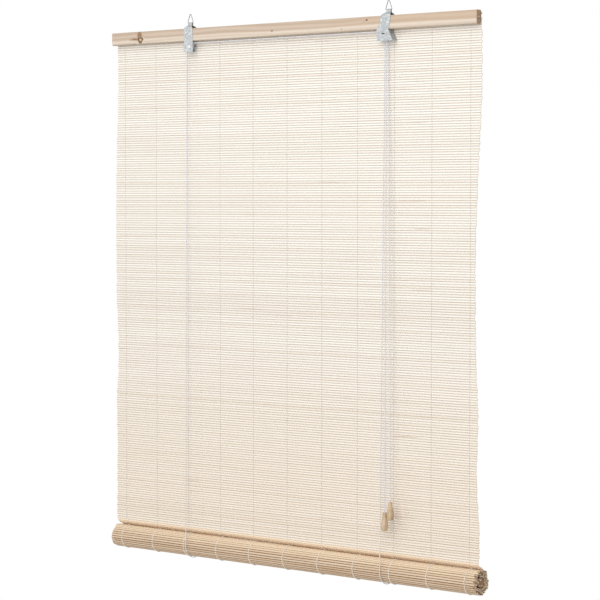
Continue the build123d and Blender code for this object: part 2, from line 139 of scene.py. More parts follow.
class Graph:
    # The node tree of one material, or of the world
    def __init__(self, owner):
        owner.use_nodes = True
        self.owner = owner
        self.tree = owner.node_tree
        self.tree.nodes.clear()

    def make(self, kind, settings=None, inputs=None, output=0):
        node = self.tree.nodes.new(kind)
        for key, value in (settings or {}).items():
            setattr(node, key, value)
        for key, value in (inputs or {}).items():
            if isinstance(value, Value):
                self.tree.links.new(value.socket, node.inputs[key])
            else:
                node.inputs[key].default_value = value
        return Value(self, node.outputs[output]) if node.outputs else node

    def place(self):
        # The piece's own x, y and z in metres
        at = self.make("ShaderNodeTexCoord", output="Object")
        return [self.make("ShaderNodeSeparateXYZ", inputs={0: at}, output=i) for i in range(3)]

    def noise(self, at, scale, detail, rough):
        inputs = {"Vector": at, "Scale": scale, "Detail": detail, "Roughness": rough}
        return self.make("ShaderNodeTexNoise", inputs=inputs)

    def grain(self, place, look, shift=None):
        # Noise with its own number of waves a metre along x, y and z
        x, y, z = [axis * waves for axis, waves in zip(place, look["waves"])]
        if shift is not None:
            z = z + shift
        at = self.make("ShaderNodeCombineXYZ", inputs={0: x, 1: y, 2: z})
        return self.noise(at, 1.0, look["detail"], look["rough"])

    def attribute(self, name):
        return self.make("ShaderNodeAttribute", {"attribute_name": name}, output="Fac")

    def mix(self, factor, first, second):
        # A Mix node has its colours at inputs 6 and 7 and their mix at output 2
        return self.make("ShaderNodeMix", {"data_type": "RGBA"}, {0: factor, 6: first, 7: second}, 2)

    def bump(self, height, distance, strength):
        inputs = {"Height": height, "Distance": distance, "Strength": strength}
        return self.make("ShaderNodeBump", inputs=inputs)

    def finish(self, **inputs):
        named = {key.replace("_", " "): value for key, value in inputs.items()}
        shader = self.make("ShaderNodeBsdfPrincipled", inputs=named)
        self.make("ShaderNodeOutputMaterial", inputs={"Surface": shader})
        return self.owner


def newMaterial(name):
    return Graph(bpy.data.materials.new(name))


# Where things are, in metres in the frame shared with the CAD
railTop = -0.0301102
matY = 0.00985
matTop = -0.0331102
stickPitch = 0.0051
stickThickness = 0.0018
rollY = 0.01785
rollZ = -1.1686102
rollRadius = 0.027
rollTurns = 6.0
turnPitch = 0.0022
leaveAngle = math.radians(60)
matBend = 0.010
liftTravel = 1.0178
centreX = -0.005
halfWidth = 0.5
threadCount = 11
threadSpacing = 0.095
threadXs = [centreX + threadSpacing * (i - (threadCount - 1) / 2) for i in range(threadCount)]
millimetres = 1000.0  # in a metre


# Bamboo: marks that each stick's points carry, for its tone, its warmth, its pale cut ends together with
# painted light where the mat turns back over the roll, the painted shade of its gaps, and its rear skin
def bambooMaterial(name, look):
    graph = newMaterial(name)
    place = graph.place()
    tone = graph.attribute("tone")
    streaks = graph.grain(place, look["streaks"], tone * look["streakShift"])
    fibres = graph.grain(place, look["fibres"])
    stains = graph.grain(place, look["stains"], tone * look["stainShift"])
    body = graph.mix(streaks.smooth(0.3, 0.72), look["pale"], look["mid"])
    body = graph.mix(tone.smooth(0.5, 1.0) * 0.5, body, look["dull"])
    body = graph.mix(place[2].smooth(*look["lowSpan"], 0.0, look["lowShare"]), body, look["low"])
    skin = graph.mix(tone.smooth(0.2, 0.9), look["skin"], look["skinDark"])
    skin = graph.mix(streaks.smooth(0.42, 0.75), skin, look["skinStreak"])
    body = graph.mix(graph.attribute("rear"), body, skin)
    body = graph.mix(graph.attribute("warm"), body, look["warm"])
    body = graph.mix(fibres.smooth(0.55, 0.85) * look["fibreShare"], body, look["fibre"])
    body = graph.mix(stains.smooth(0.71, 0.82) * look["stainShare"], body, look["stain"])
    # Pale cut ends, and painted light on the sticks where the mat turns back over the roll
    body = graph.mix(graph.attribute("cutEndsAndPaintedLight"), body, look["cutEndsAndPaintedLight"])
    # Painted shade of the gaps between sticks, strongest at their rims
    body = graph.mix(graph.attribute("gapShade") * look["gapShadeShare"], body, look["gapShade"])
    return graph.finish(
        Base_Color=body,
        Roughness=look["roughness"],
        Normal=graph.bump(streaks * 0.6 + fibres * 0.4, look["depth"], look["relief"]),
        Specular_IOR_Level=look["shine"],
    )


matLook = {
    "streaks": {"waves": (6.0, 700.0, 700.0), "detail": 2.0, "rough": 0.5},
    "streakShift": 40.0,
    "fibres": {"waves": (25.0, 5000.0, 5000.0), "detail": 1.0, "rough": 0.5},
    "fibreShare": 0.25,
    "stains": {"waves": (5.0, 20.0, 190.0), "detail": 1.0, "rough": 0.5},
    "stainShift": 60.0,
    "stainShare": 0.8,
    "lowSpan": (-0.55, -1.12),
    "lowShare": 0.42,
    "gapShadeShare": 0.95,
    "roughness": 0.62,
    "depth": 0.0002,
    "relief": 0.3,
    "shine": 0.3,
    "pale": colour(254, 250, 242),
    "mid": colour(247, 241, 231),
    "dull": colour(238, 229, 215),
    "low": colour(246, 224, 196),
    "cutEndsAndPaintedLight": colour(255, 231, 201),
    "skin": colour(230, 210, 184),
    "skinDark": colour(212, 186, 156),
    "skinStreak": colour(204, 174, 140),
    "warm": colour(206, 168, 122),
    "stain": colour(196, 164, 132),
    "fibre": colour(228, 213, 194),
    "gapShade": colour(160, 144, 127),
}
# The mat's own sticks where they are wound in the roll, given darker and warmer colours as painted shade and
# warm bounce light in the spiral
rolledShadeLook = dict(
    matLook,
    pale=colour(226, 202, 172),
    mid=colour(212, 184, 150),
    dull=colour(198, 168, 134),
    gapShade=colour(158, 122, 92),
    skin=colour(232, 212, 186),
    skinDark=colour(214, 188, 157),
    cutEndsAndPaintedLight=colour(238, 218, 190),
)
matBamboo = bambooMaterial("mat_bamboo", matLook)
rollBamboo = bambooMaterial("roll_bamboo", rolledShadeLook)


def railMaterial(name, look):
    graph = newMaterial(name)
    place = graph.place()
    x, y, z = place
    drop = (railTop - z) * millimetres
    along = (x - centreX) * millimetres
    side = y * millimetres

    def reach(across, mark):
        # Distance from a mark's middle, 1 at its rim
        return (((across - mark[0]) / mark[2]) ** 2.0 + ((drop - mark[1]) / mark[3]) ** 2.0) ** 0.5

    # Knots push the grain aside
    uneven = graph.grain(place, look["uneven"]) - 0.5
    knot = reach(along, look["knot"]) + uneven * 1.1
    bend = knot.smooth(0.4, 2.6, 1.0, 0.0)
    waves = graph.grain(place, look["waves"])
    rings = ((drop + y * look["ringSlope"]) * look["ringCount"] + waves * 16.0 + bend * 5.0).waved()
    pores = graph.grain(place, look["pores"])
    # Darker heartwood above, paler sapwood below
    band = (drop + waves * 7.0).smooth(*look["sapFrom"])
    heart = graph.mix(rings, look["heart"], look["heartDark"])
    heart = graph.mix(along.smooth(*look["warmSpan"]) * look["warmShare"], heart, look["heartWarm"])
    sap = graph.mix(rings, look["sap"], look["sapDark"])
    wood = graph.mix(band, heart, sap)
    wood = graph.mix(pores.smooth(0.56, 0.8) * 0.5, wood, look["pore"])
    for mark in look["stains"]:
        wood = graph.mix((reach(along, mark) + uneven).smooth(0.2, 1.2, 0.85, 0.0), wood, look["stain"])
    wood = graph.mix(knot.smooth(0.85, 1.2, 1.0, 0.0), wood, look["rim"])
    wood = graph.mix(knot.smooth(0.3, 0.75, 1.0, 0.0), wood, look["core"])
    for mark in look["dots"]:
        wood = graph.mix(reach(along, mark).smooth(0.4, 1.1, 0.85, 0.0), wood, look["dot"])
    # Painted shade along the rail's bottom edge, where its underside turns away from the light
    wood = graph.mix(drop.smooth(*look["underShadeSpan"]) * 0.5, wood, look["underShade"])
    # Sawn ends with growth rings
    growth = (reach(side, look["growth"]) * 7.0 + waves * 5.0).waved()
    endWood = graph.mix(growth * 0.6, look["end"], look["endDark"])
    endWood = graph.mix(side.smooth(*look["endBackSpan"]) * 0.6, endWood, look["endBack"])
    for spot in ("hole", "pith"):
        near = reach(side, look[spot + "Place"]).smooth(0.6, 1.1, 1.0, 0.0)
        endWood = graph.mix(near, endWood, look[spot])
    railEnd = halfWidth * millimetres
    ends = along.absolute().smooth(railEnd - look["endFrom"], railEnd - look["endTo"])
    wood = graph.mix(ends, wood, endWood)
    return graph.finish(
        Base_Color=wood,
        Roughness=look["roughness"],
        Normal=graph.bump(rings * 0.25 + pores * 0.6, look["depth"], look["relief"]),
        Specular_IOR_Level=look["shine"],
    )


# Places in mm: along the rail from its middle, or back from it at the ends, then down from its top.
# A mark has its half width and half height after these.
railLook = {
    "uneven": {"waves": (190.0, 190.0, 190.0), "detail": 2.0, "rough": 0.6},
    "waves": {"waves": (2.2, 26.0, 26.0), "detail": 2.0, "rough": 0.5},
    "pores": {"waves": (26.0, 2200.0, 2200.0), "detail": 3.0, "rough": 0.6},
    "ringSlope": 420.0,
    "ringCount": 0.62,
    "sapFrom": (17.0, 22.5),
    "warmSpan": (40.0, 300.0),
    "warmShare": 0.45,
    "underShadeSpan": (25.6, 27.4),
    "knot": (-412.2, 18.5, 7.4, 6.9),
    "stains": [(-414.5, 8.0, 8.5, 11.0), (-429.0, 16.8, 19.0, 3.6)],
    "dots": [
        (-28.0, 17.0, 3.3, 2.2),
        (226.0, 7.0, 3.9, 2.6),
        (219.0, 9.5, 1.5, 1.0),
        (160.0, 22.0, 1.8, 1.2),
    ],
    "growth": (0.0, 14.5, 2.2, 3.4),
    "holePlace": (0.0, 16.6, 1.9, 1.7),
    "pithPlace": (0.0, 13.6, 1.9, 1.7),
    "endBackSpan": (2.5, 6.5),
    "endFrom": 0.6,
    "endTo": 0.1,
    "roughness": 0.6,
    "depth": 0.00022,
    "relief": 0.5,
    "shine": 0.3,
    "heart": colour(200, 182, 164),
    "heartDark": colour(185, 165, 145),
    "heartWarm": colour(194, 168, 141),
    "sap": colour(216, 202, 186),
    "sapDark": colour(204, 187, 169),
    "pore": colour(172, 136, 102),
    "stain": colour(132, 88, 50),
    "rim": colour(88, 60, 34),
    "core": colour(196, 166, 128),
    "dot": colour(98, 68, 42),
    "underShade": colour(162, 142, 118),
    "end": colour(182, 152, 120),
    "endDark": colour(152, 119, 88),
    "endBack": colour(112, 96, 78),
    "hole": colour(58, 38, 22),
    "pith": colour(232, 222, 204),
}
railWood = railMaterial("rail_wood", railLook)


# Metals: galvanised sheet with its spangle, and plainer ones with a finer one
def metalMaterial(name, look):
    graph = newMaterial(name)
    at = graph.make("ShaderNodeTexCoord", output="Object")
    inputs = {"Vector": at, "Scale": look["scale"]}
    spangle = graph.make("ShaderNodeTexVoronoi", {"feature": "F1"}, inputs, "Color")
    tone = graph.make("ShaderNodeSeparateColor", inputs={0: spangle})
    cloud = graph.noise(at, look["cloud"], 3.0, 0.6)
    share = tone * 0.6 + cloud * 0.4
    scratch = graph.noise(at, look["scratch"], 2.0, 0.5)
    return graph.finish(
        Base_Color=graph.mix(share.smooth(0.2, 0.8), look["light"], look["dark"]),
        Metallic=look["metal"],
        Roughness=look["rough"] + share * 0.16,
        Normal=graph.bump(scratch * 0.5 + tone * 0.5, look["depth"], look["relief"]),
    )


sheetLook = {
    "scale": 300.0,
    "cloud": 260.0,
    "scratch": 1500.0,
    "depth": 0.00008,
    "relief": 0.4,
    "metal": 0.6,
    "rough": 0.42,
    "light": colour(186, 189, 190),
    "dark": colour(162, 166, 168),
}
wireLook = dict(sheetLook, scale=900.0, metal=0.9, rough=0.3)
wireLook.update(light=colour(170, 172, 172), dark=colour(128, 130, 132))
nailLook = dict(sheetLook, scale=1200.0, metal=0.6, rough=0.36)
nailLook.update(light=colour(208, 210, 212), dark=colour(184, 187, 190))
pinLook = dict(sheetLook, scale=1200.0, metal=0.9, rough=0.3)
pinLook.update(light=colour(70, 72, 74), dark=colour(52, 54, 56))
brassLook = dict(sheetLook, scale=900.0, metal=0.9, rough=0.34)
brassLook.update(light=colour(214, 178, 104), dark=colour(176, 136, 70))
sheetMetal = metalMaterial("galvanised_sheet", sheetLook)
wireMetal = metalMaterial("ring_wire", wireLook)
nailMetal = metalMaterial("nail_steel", nailLook)
pinMetal = metalMaterial("dark_pin", pinLook)
brassMetal = metalMaterial("roller_brass", brassLook)


def plainMaterial(name, look):
    graph = newMaterial(name)
    at = graph.make("ShaderNodeTexCoord", output="Object")
    grain = graph.noise(at, look["scale"], 3.0, 0.6)
    return graph.finish(
        Base_Color=graph.mix(grain.smooth(0.3, 0.7), look["light"], look["dark"]),
        Roughness=look["rough"],
        Normal=graph.bump(grain, look["depth"], look["relief"]),
        Specular_IOR_Level=look["shine"],
    )


cordLook = {
    "scale": 1800.0,
    "rough": 0.85,
    "depth": 0.0002,
    "relief": 0.5,
    "shine": 0.25,
    "light": colour(236, 235, 237),
    "dark": colour(210, 209, 213),
}
threadLook = dict(cordLook, light=colour(230, 224, 215), dark=colour(217, 210, 200))
rollThreadLook = dict(cordLook, light=colour(246, 238, 226), dark=colour(236, 225, 210))
pulleyLook = dict(cordLook, scale=300.0, rough=0.45, depth=0.00005)
pulleyLook.update(light=colour(52, 52, 52), dark=colour(42, 42, 42))
battenLook = dict(cordLook, scale=200.0, rough=0.7, depth=0.0003)
battenLook.update(light=colour(176, 144, 110), dark=colour(150, 118, 86))
cordCotton = plainMaterial("cord_cotton", cordLook)
warpThread = plainMaterial("warp_thread", threadLook)
rollThread = plainMaterial("roll_thread", rollThreadLook)
pulleyPlastic = plainMaterial("pulley_plastic", pulleyLook)
battenWood = plainMaterial("batten_wood", battenLook)


def tasselMaterial(name, look):
    graph = newMaterial(name)
    place = graph.place()
    grain = graph.grain(place, look["grain"])
    lines = graph.grain(place, look["lines"])
    return graph.finish(
        Base_Color=graph.mix(grain.smooth(0.32, 0.7), look["light"], look["dark"]),
        Roughness=look["roughness"],
        Coat_Weight=look["varnish"],
        Normal=graph.bump(grain * 0.4 + lines * 0.6, look["depth"], look["relief"]),
    )


tasselLook = {
    "grain": {"waves": (320.0, 320.0, 26.0), "detail": 4.0, "rough": 0.65},
    "lines": {"waves": (30.0, 30.0, 900.0), "detail": 2.0, "rough": 0.5},
    "roughness": 0.42,
    "varnish": 0.15,
    "depth": 0.00015,
    "relief": 0.4,
    "light": colour(208, 184, 151),
    "dark": colour(176, 149, 116),
}
tasselWood = tasselMaterial("tassel_wood", tasselLook)
print("materials made")


# The sawn end faces of sticks: paler, and with less of the painted shade of the gaps
endLook = {"cutEndsAndPaintedLight": 0.8, "gapShade": 0.25}


class Bundle:
    # Many sticks, threads or strands gathered into one mesh
    def __init__(self):
        self.points = []
        self.faces = []
        self.marks = {"tone": [], "warm": [], "cutEndsAndPaintedLight": [], "gapShade": [], "rear": []}

    def tube(self, rings, tone=0.5, warm=0.0, cutEndsAndPaintedLight=0.0, gapShades=None, rears=None):
        # Rings of points joined along their length, with end faces that have their own points
        base = len(self.points)
        count = len(rings[0])
        for i, ring in enumerate([*rings, rings[0], rings[-1]]):
            isEnd = i >= len(rings)
            depth = endLook["gapShade"] if isEnd else 1.0
            self.points.extend(ring)
            self.marks["tone"].extend([tone] * count)
            self.marks["warm"].extend([warm] * count)
            self.marks["cutEndsAndPaintedLight"].extend([endLook["cutEndsAndPaintedLight"] if isEnd else cutEndsAndPaintedLight] * count)
            self.marks["gapShade"].extend(depth * gapShade for gapShade in gapShades or [0.0] * count)
            self.marks["rear"].extend(rears or [0.0] * count)
        for i in range(len(rings) - 1):
            for j in range(count):
                a = base + i * count + j
                b = base + i * count + (j + 1) % count
                self.faces.append((a, b, b + count, a + count))
        first = base + count * len(rings)
        self.faces.append(tuple(first + j for j in reversed(range(count))))
        self.faces.append(tuple(first + count + j for j in range(count)))

    def build(self, name, material, body):
        mesh = bpy.data.meshes.new(name)
        mesh.from_pydata(self.points, [], self.faces)
        mesh.update()
        mesh.shade_smooth()
        for key, values in self.marks.items():
            layer = mesh.attributes.new(key, "FLOAT", "POINT")
            layer.data.foreach_set("value", values)
        mesh.materials.append(material)
        made = bpy.data.objects.new(name, mesh)
        scene.collection.objects.link(made)
        if body:
            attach(made, body)
        return made


# Sticks of the mat
stickLook = {
    "height": 0.00488,
    "heightSpread": 0.00008,
    "thickness": 0.0016,
    "thinnest": 0.86,
    "wander": 0.00008,
    "push": 0.00012,
    "waves": (7.3, 19.0, 11.0),
    "bulge": 0.05,
    "bulgeRun": 0.012,
    "raggedEnd": 0.0022,
    "raggedShares": (-0.2, 1.0),
    "slant": 0.0006,
    "leftOut": 0.0,
    "stations": 22,
    "rimSkin": 0.4,
    "darkShare": 0.0,
    "darkWarm": (0.45, 0.9),
    "usualWarm": (0.0, 0.08),
}
# Half a flat sliver's section: share of the half height, share of the half thickness, depth in the gap,
# which sets how much painted gap shade it gets
stickSection = [(-1.0, 0.25, 1.0), (-0.8, 0.86, 0.35), (0.0, 1.0, 0.0), (0.8, 0.86, 0.35), (1.0, 0.25, 1.0)]
rng = random.Random(7)


def addStick(bundle, centre, across, look, paintedLight=0.0, drift=(0.0, 0.0)):
    # One sliver along X at centre (y, z), its height along the unit vector across (y, z)
    outY, outZ = -across[1], across[0]
    height = look["height"] / 2 + rng.uniform(-1, 1) * look["heightSpread"] / 2
    thickness = look["thickness"] / 2 * rng.uniform(look["thinnest"], 1.0)
    leftRag = rng.uniform(*look["raggedShares"]) * look["raggedEnd"]
    rightRag = rng.uniform(*look["raggedShares"]) * look["raggedEnd"]
    left = centreX - halfWidth + drift[0] - look["leftOut"] + leftRag
    right = centreX + halfWidth + drift[1] - rightRag
    # Three draws start the waves along the stick. Two more only keep the order of the draws.
    phases = [rng.uniform(0, 6.28) for _ in range(3)]
    rng.uniform(-0.5, 0.5)
    rng.uniform(-0.5, 0.5)
    slant = rng.uniform(-1, 1) * look["slant"]
    joint = rng.uniform(left, right)
    slow, quick, deepWave = look["waves"]
    rings = []
    last = look["stations"] - 1
    for i in range(look["stations"]):
        x = left + (right - left) * (i / last)
        wave = math.sin(x * slow + phases[0]) * 0.6 + math.sin(x * quick + phases[1]) * 0.4
        shift = look["wander"] * wave
        push = look["push"] * math.sin(x * deepWave + phases[2])
        bulge = 1.0 + look["bulge"] * math.exp(-(((x - joint) / look["bulgeRun"]) ** 2))
        ring = []
        for face in (1, -1):
            for h, t, _ in stickSection[::face]:
                along = h * height * bulge + shift
                out = face * t * thickness * bulge + push
                cut = slant * h if i in (0, last) else 0.0
                y = centre[0] + across[0] * along + outY * out
                z = centre[1] + across[1] * along + outZ * out
                ring.append((x + cut, y, z))
        rings.append(ring)
    # Painted light lessens the painted shade of the gaps and the rear skin
    depths = [depth * (1 - paintedLight) for _, _, depth in stickSection]
    rears = [(look["rimSkin"] if depth == 1.0 else 1.0) * (1 - paintedLight) for _, _, depth in stickSection]
    tone = rng.random()
    warmth = look["darkWarm"] if rng.random() < look["darkShare"] else look["usualWarm"]
    warm = rng.uniform(*warmth)
    bundle.tube(rings, tone, warm, paintedLight, depths + depths[::-1], rears + [0.0] * len(rears))


# The mat's middle line: down behind the rail, then back over the roll
rollMiddle = rollRadius - stickThickness / 2
rollGap = 0.0003
leaveY = rollY + rollMiddle * math.cos(leaveAngle)
leaveZ = rollZ + rollMiddle * math.sin(leaveAngle)
bendZ = leaveZ + (leaveY - matY) / math.tan(leaveAngle)
bendRun = matBend * math.tan(leaveAngle / 2)
straightRun = matTop - bendZ - bendRun
arcRun = matBend * leaveAngle
slopeRun = (leaveY - matY) / math.sin(leaveAngle) - bendRun
stickCount = int((straightRun + arcRun + slopeRun - rollGap) / stickPitch)


def matAt(distance):
    # Point (y, z) and direction (y, z) of the mat's middle line
    if distance <= straightRun:
        return (matY, matTop - distance), (0.0, -1.0)
    turned = min((distance - straightRun) / matBend, leaveAngle)
    centreY = matY + matBend
    centreZ = bendZ + bendRun
    at = (centreY - matBend * math.cos(turned), centreZ - matBend * math.sin(turned))
    way = (math.sin(turned), -math.cos(turned))
    past = max(0.0, distance - straightRun - arcRun)
    return (at[0] + way[0] * past, at[1] + way[1] * past), way


# The sticks near the rail stay, those over the roll rise with it, and those between stay as well, each with
# a mesh of its own
stayCount = 11
foldCount = int(straightRun / stickPitch) - stayCount
groups = [
    ("top", 0, stayCount, "blind"),
    ("middle", stayCount, stayCount + foldCount, "blind"),
    ("bottom", stayCount + foldCount, stickCount, "cord_bends"),
]


def fold(piece):
    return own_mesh(piece)


# How far the sticks' left and right ends stand off in mm, at shares of the way down the mat
drifts = [
    (0.0, 0.0, 1.0),
    (0.1, 2.5, 2.5),
    (0.15, 0.5, 2.0),
    (0.2, -2.5, -1.0),
    (0.3, -5.5, -7.5),
    (0.36, -6.0, -10.5),
    (0.45, -6.0, -12.5),
    (0.53, -5.5, -12.0),
    (0.63, 0.5, -9.5),
    (0.67, -0.5, -6.5),
    (0.72, -5.5, -4.5),
    (0.77, -6.0, -6.5),
    (0.82, -4.0, -7.5),
    (0.87, -5.0, -5.0),
    (0.93, -6.0, 0.0),
    (1.0, -5.0, -2.0),
]


def driftAt(share):
    for (a, leftA, rightA), (b, leftB, rightB) in zip(drifts, drifts[1:]):
        if share <= b:
            part = (share - a) / (b - a)
            left = leftA + (leftB - leftA) * part
            right = rightA + (rightB - rightA) * part
            return left / millimetres, right / millimetres


gapShift = 0.00009  # opens the mat above every second stick
# Painted light on the sticks where the mat turns back over the roll, set against the shade in the groove
# there
bendPaintedLight = {"paintedLight": 0.8, "rise": 2.0}
for name, first, last, body in groups:
    bundle = Bundle()
    for i in range(first, last):
        shift = gapShift if i % 2 == 0 else -gapShift
        centre, way = matAt((i + 0.5) * stickPitch + shift)
        # Painted light where the mat turns back over the roll: paler sticks with less painted shade in their
        # gaps
        paintedLight = bendPaintedLight["paintedLight"] * min(1.0, way[0] * bendPaintedLight["rise"])
        addStick(bundle, centre, way, stickLook, paintedLight, driftAt(i / stickCount))
    sticks = bundle.build(f"mat_sticks_{name}", matBamboo, body)
    if name == "top":
        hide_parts("hanging_mat")
    if name == "middle":
        fold(sticks)

# Warp threads, two at each place, crossing between the sticks
threadSizes = {"radius": 0.0004, "sides": 5, "gap": 0.0005}
# How a thread swells round a stick: share of the stick's height, share of the way out
threadSwell = [(0.0, 0.0), (0.22, 0.93), (0.5, 1.0), (0.78, 0.93)]


def addThread(bundle, x, first, last, phase, point, sizes):
    rings = []
    reach = stickLook["thickness"] / 2 + sizes["radius"]
    for i in range(first, last):
        side = 1 if (i + phase) % 2 else -1
        for share, out in threadSwell:
            centre, way = point(i + share)
            normal = (-way[1], way[0])
            lean = (1 if phase else -1) * side * sizes["gap"] * (1 - out)
            ring = []
            for j in range(sizes["sides"]):
                angle = 2 * math.pi * j / sizes["sides"]
                sideways = lean + sizes["radius"] * math.cos(angle)
                outward = reach * out * side + sizes["radius"] * math.sin(angle)
                ring.append((x + sideways, centre[0] + normal[0] * outward, centre[1] + normal[1] * outward))
            rings.append(ring)
    bundle.tube(rings)


for name, first, last, body in groups:
    bundle = Bundle()
    for x in threadXs:
        for phase in (0, 1):
            addThread(bundle, x, first, last, phase, lambda place: matAt(place * stickPitch), threadSizes)
    threads = bundle.build(f"warp_threads_{name}", warpThread, body)
    if name == "top":
        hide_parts("warp_threads")
    if name == "middle":
        fold(threads)
print("mat made")

# The roll: the same sticks wound into a spiral, with ragged ends
rollSticks = dict(
    stickLook,
    height=0.0044,
    heightSpread=0.0003,
    wander=0.0002,
    raggedEnd=0.006,
    thickness=0.0017,
    darkShare=0.06,
    leftOut=0.010,
    stations=12,
)
# The stick on top of the roll, under the mat, and the few on both sides of it, which get painted light
# against the shade of the groove
topSticks = {"middle": 26, "spread": 5, "paintedLight": 0.75}
# Rows of sticks lying flat against both faces of the batten: distance from its middle, and count
battenRows = [(0.0057, 3), (0.0079, 2)]


def spiralReach(turned):
    return rollMiddle - turnPitch * turned / (2 * math.pi)


def rollAt(turned, offset=0.0):
    # Point (y, z) and direction (y, z) of the spiral's middle line
    reach = spiralReach(turned) + offset
    angle = leaveAngle - turned
    at = (rollY + reach * math.cos(angle), rollZ + reach * math.sin(angle))
    return at, (math.sin(angle), -math.cos(angle))


turnMarks = [0.0]
while turnMarks[-1] < 2 * math.pi * rollTurns:
    turnMarks.append(turnMarks[-1] + stickPitch / spiralReach(turnMarks[-1]))
sag = stickPitch * stickPitch / 8 / rollMiddle
bundle = Bundle()
for i, (a, b) in enumerate(zip(turnMarks, turnMarks[1:])):
    centre, way = rollAt((a + b) / 2, -sag / 2)
    paintedLight = topSticks["paintedLight"] * max(0.0, 1 - abs(i - topSticks["middle"]) / topSticks["spread"])
    addStick(bundle, centre, way, rollSticks, paintedLight)
for side in (-1, 1):
    for out, count in battenRows:
        for i in range(count):
            centre = (rollY + (i - (count - 1) / 2) * stickPitch, rollZ + side * out)
            addStick(bundle, centre, (1.0, 0.0), rollSticks)
roll = bundle.build("roll_sticks", rollBamboo, "roll")
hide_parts("rolled_mat")

# Its threads, on the outer turns only
rollThreadSizes = dict(threadSizes, radius=0.0009, gap=0.0009)
threadedSticks = 60


def onRoll(place):
    whole = int(place)
    return rollAt(turnMarks[whole] + (turnMarks[whole + 1] - turnMarks[whole]) * (place - whole))


bundle = Bundle()
for x in threadXs:
    for phase in (0, 1):
        addThread(bundle, x, 0, threadedSticks, phase, onRoll, rollThreadSizes)
bundle.build("roll_threads", rollThread, "roll")
print("roll made")


# Cords: three strands laid together, following a line of points
cordSizes = {"radius": 0.001, "valley": 0.00078, "strands": 3, "lay": 0.0066, "step": 0.0011, "arcSteps": 24}


def resample(points, step):
    lengths = [0.0]
    for a, b in zip(points, points[1:]):
        lengths.append(lengths[-1] + (b - a).length)
    count = max(2, round(lengths[-1] / step))
    out = []
    k = 0
    for i in range(count + 1):
        want = lengths[-1] * i / count
        while k < len(points) - 2 and lengths[k + 1] < want:
            k += 1
        share = (want - lengths[k]) / max(1e-9, lengths[k + 1] - lengths[k])
        out.append(points[k].lerp(points[k + 1], min(1.0, share)))
    return out


def cordMesh(name, points, body):
    # Makes the cord and gives it back with its middle line
    path = resample([Vector(p) for p in points], cordSizes["step"])
    end = len(path) - 1
    ways = [(path[min(i + 1, end)] - path[max(i - 1, 0)]).normalized() for i in range(len(path))]
    side = ways[0].orthogonal().normalized()
    ridges = 2 * cordSizes["strands"]
    rings = []
    gone = 0.0
    for i, (at, way) in enumerate(zip(path, ways)):
        side = (side - way * side.dot(way)).normalized()
        other = way.cross(side)
        if i:
            gone += (at - path[i - 1]).length
        twist = 2 * math.pi * gone / cordSizes["lay"] / cordSizes["strands"]
        ring = []
        for j in range(ridges):
            angle = 2 * math.pi * j / ridges + twist
            reach = cordSizes["radius"] if j % 2 == 0 else cordSizes["valley"]
            ring.append(tuple(at + side * (reach * math.cos(angle)) + other * (reach * math.sin(angle))))
        rings.append(ring)
    bundle = Bundle()
    bundle.tube(rings)
    return bundle.build(name, cordCotton, body), path


def curvePoints(points):
    # The smooth line that a thin cord takes through its route points
    data = bpy.data.curves.new("route", "CURVE")
    data.dimensions = "3D"
    spline = data.splines.new("NURBS")
    spline.points.add(len(points) - 1)
    for point, place in zip(spline.points, points):
        point.co = (*place, 1.0)
    spline.order_u = 3
    spline.use_endpoint_u = True
    spline.resolution_u = 24
    holder = bpy.data.objects.new("route", data)
    scene.collection.objects.link(holder)
    bpy.context.view_layer.update()
    evaluated = holder.evaluated_get(bpy.context.evaluated_depsgraph_get())
    mesh = bpy.data.meshes.new_from_object(evaluated)
    line = [v.co.copy() for v in mesh.vertices]
    bpy.data.objects.remove(holder)
    bpy.data.curves.remove(data)
    bpy.data.meshes.remove(mesh)
    return line


def arc(centre, radius, start, end, point):
    out = []
    for i in range(cordSizes["arcSteps"] + 1):
        angle = math.radians(start + (end - start) * i / cordSizes["arcSteps"])
        out.append(point(centre[0] + radius * math.cos(angle), centre[1] + radius * math.sin(angle)))
    return out


# Lift cords: a loop round the roll at each side, nailed to the rail's back
frontPlane = -0.0036
rearPlane = 0.0036
loopRadius = 0.0283
lead = 0.045
anchorTop = -0.0525102
backY = 0.01255
loops = {
    "left": {"x": -0.28065, "topY": frontPlane, "topZ": -0.0722602, "anchorX": -0.2665},
    "right": {"x": 0.25925, "topY": rearPlane, "topZ": -0.0688602, "anchorX": 0.2785},
}
for side, loop in loops.items():
    x = loop["x"]
    front = [
        (x, loop["topY"], loop["topZ"]),
        (x, loop["topY"], loop["topZ"] - lead),
        (x, rollY - loopRadius, rollZ + lead),
        (x, rollY - loopRadius, rollZ),
    ]
    back = [
        (loop["anchorX"], backY, anchorTop),
        (x, rollY + loopRadius, rollZ + lead),
        (x, rollY + loopRadius, rollZ),
    ]
    for part, route in (("front", front), ("back", back)):
        cord, _ = cordMesh(f"{side}_{part}_cord_strands", curvePoints(route), "blind")
        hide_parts(f"{side}_{part}_cord")
        keep = 1 - liftTravel / (route[0][2] - rollZ)
        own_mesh(cord)
    under = arc((rollY, rollZ), loopRadius, 180, 360, lambda y, z: (x, y, z))
    bend, _ = cordMesh(f"{side}_cord_bend_strands", under, "cord_bends")
    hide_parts(f"{side}_cord_bend")

# Cords over the pulleys: x and z of each axle, and the cord's radius on it
leftAxle = (-0.2725, -0.0702602)
leftPitch = 0.00815
lockAxle = (0.264, -0.0668602)
lockPitch = 0.00475
stub = 0.002


def inPlane(y):
    return lambda x, z: (x, y, z)


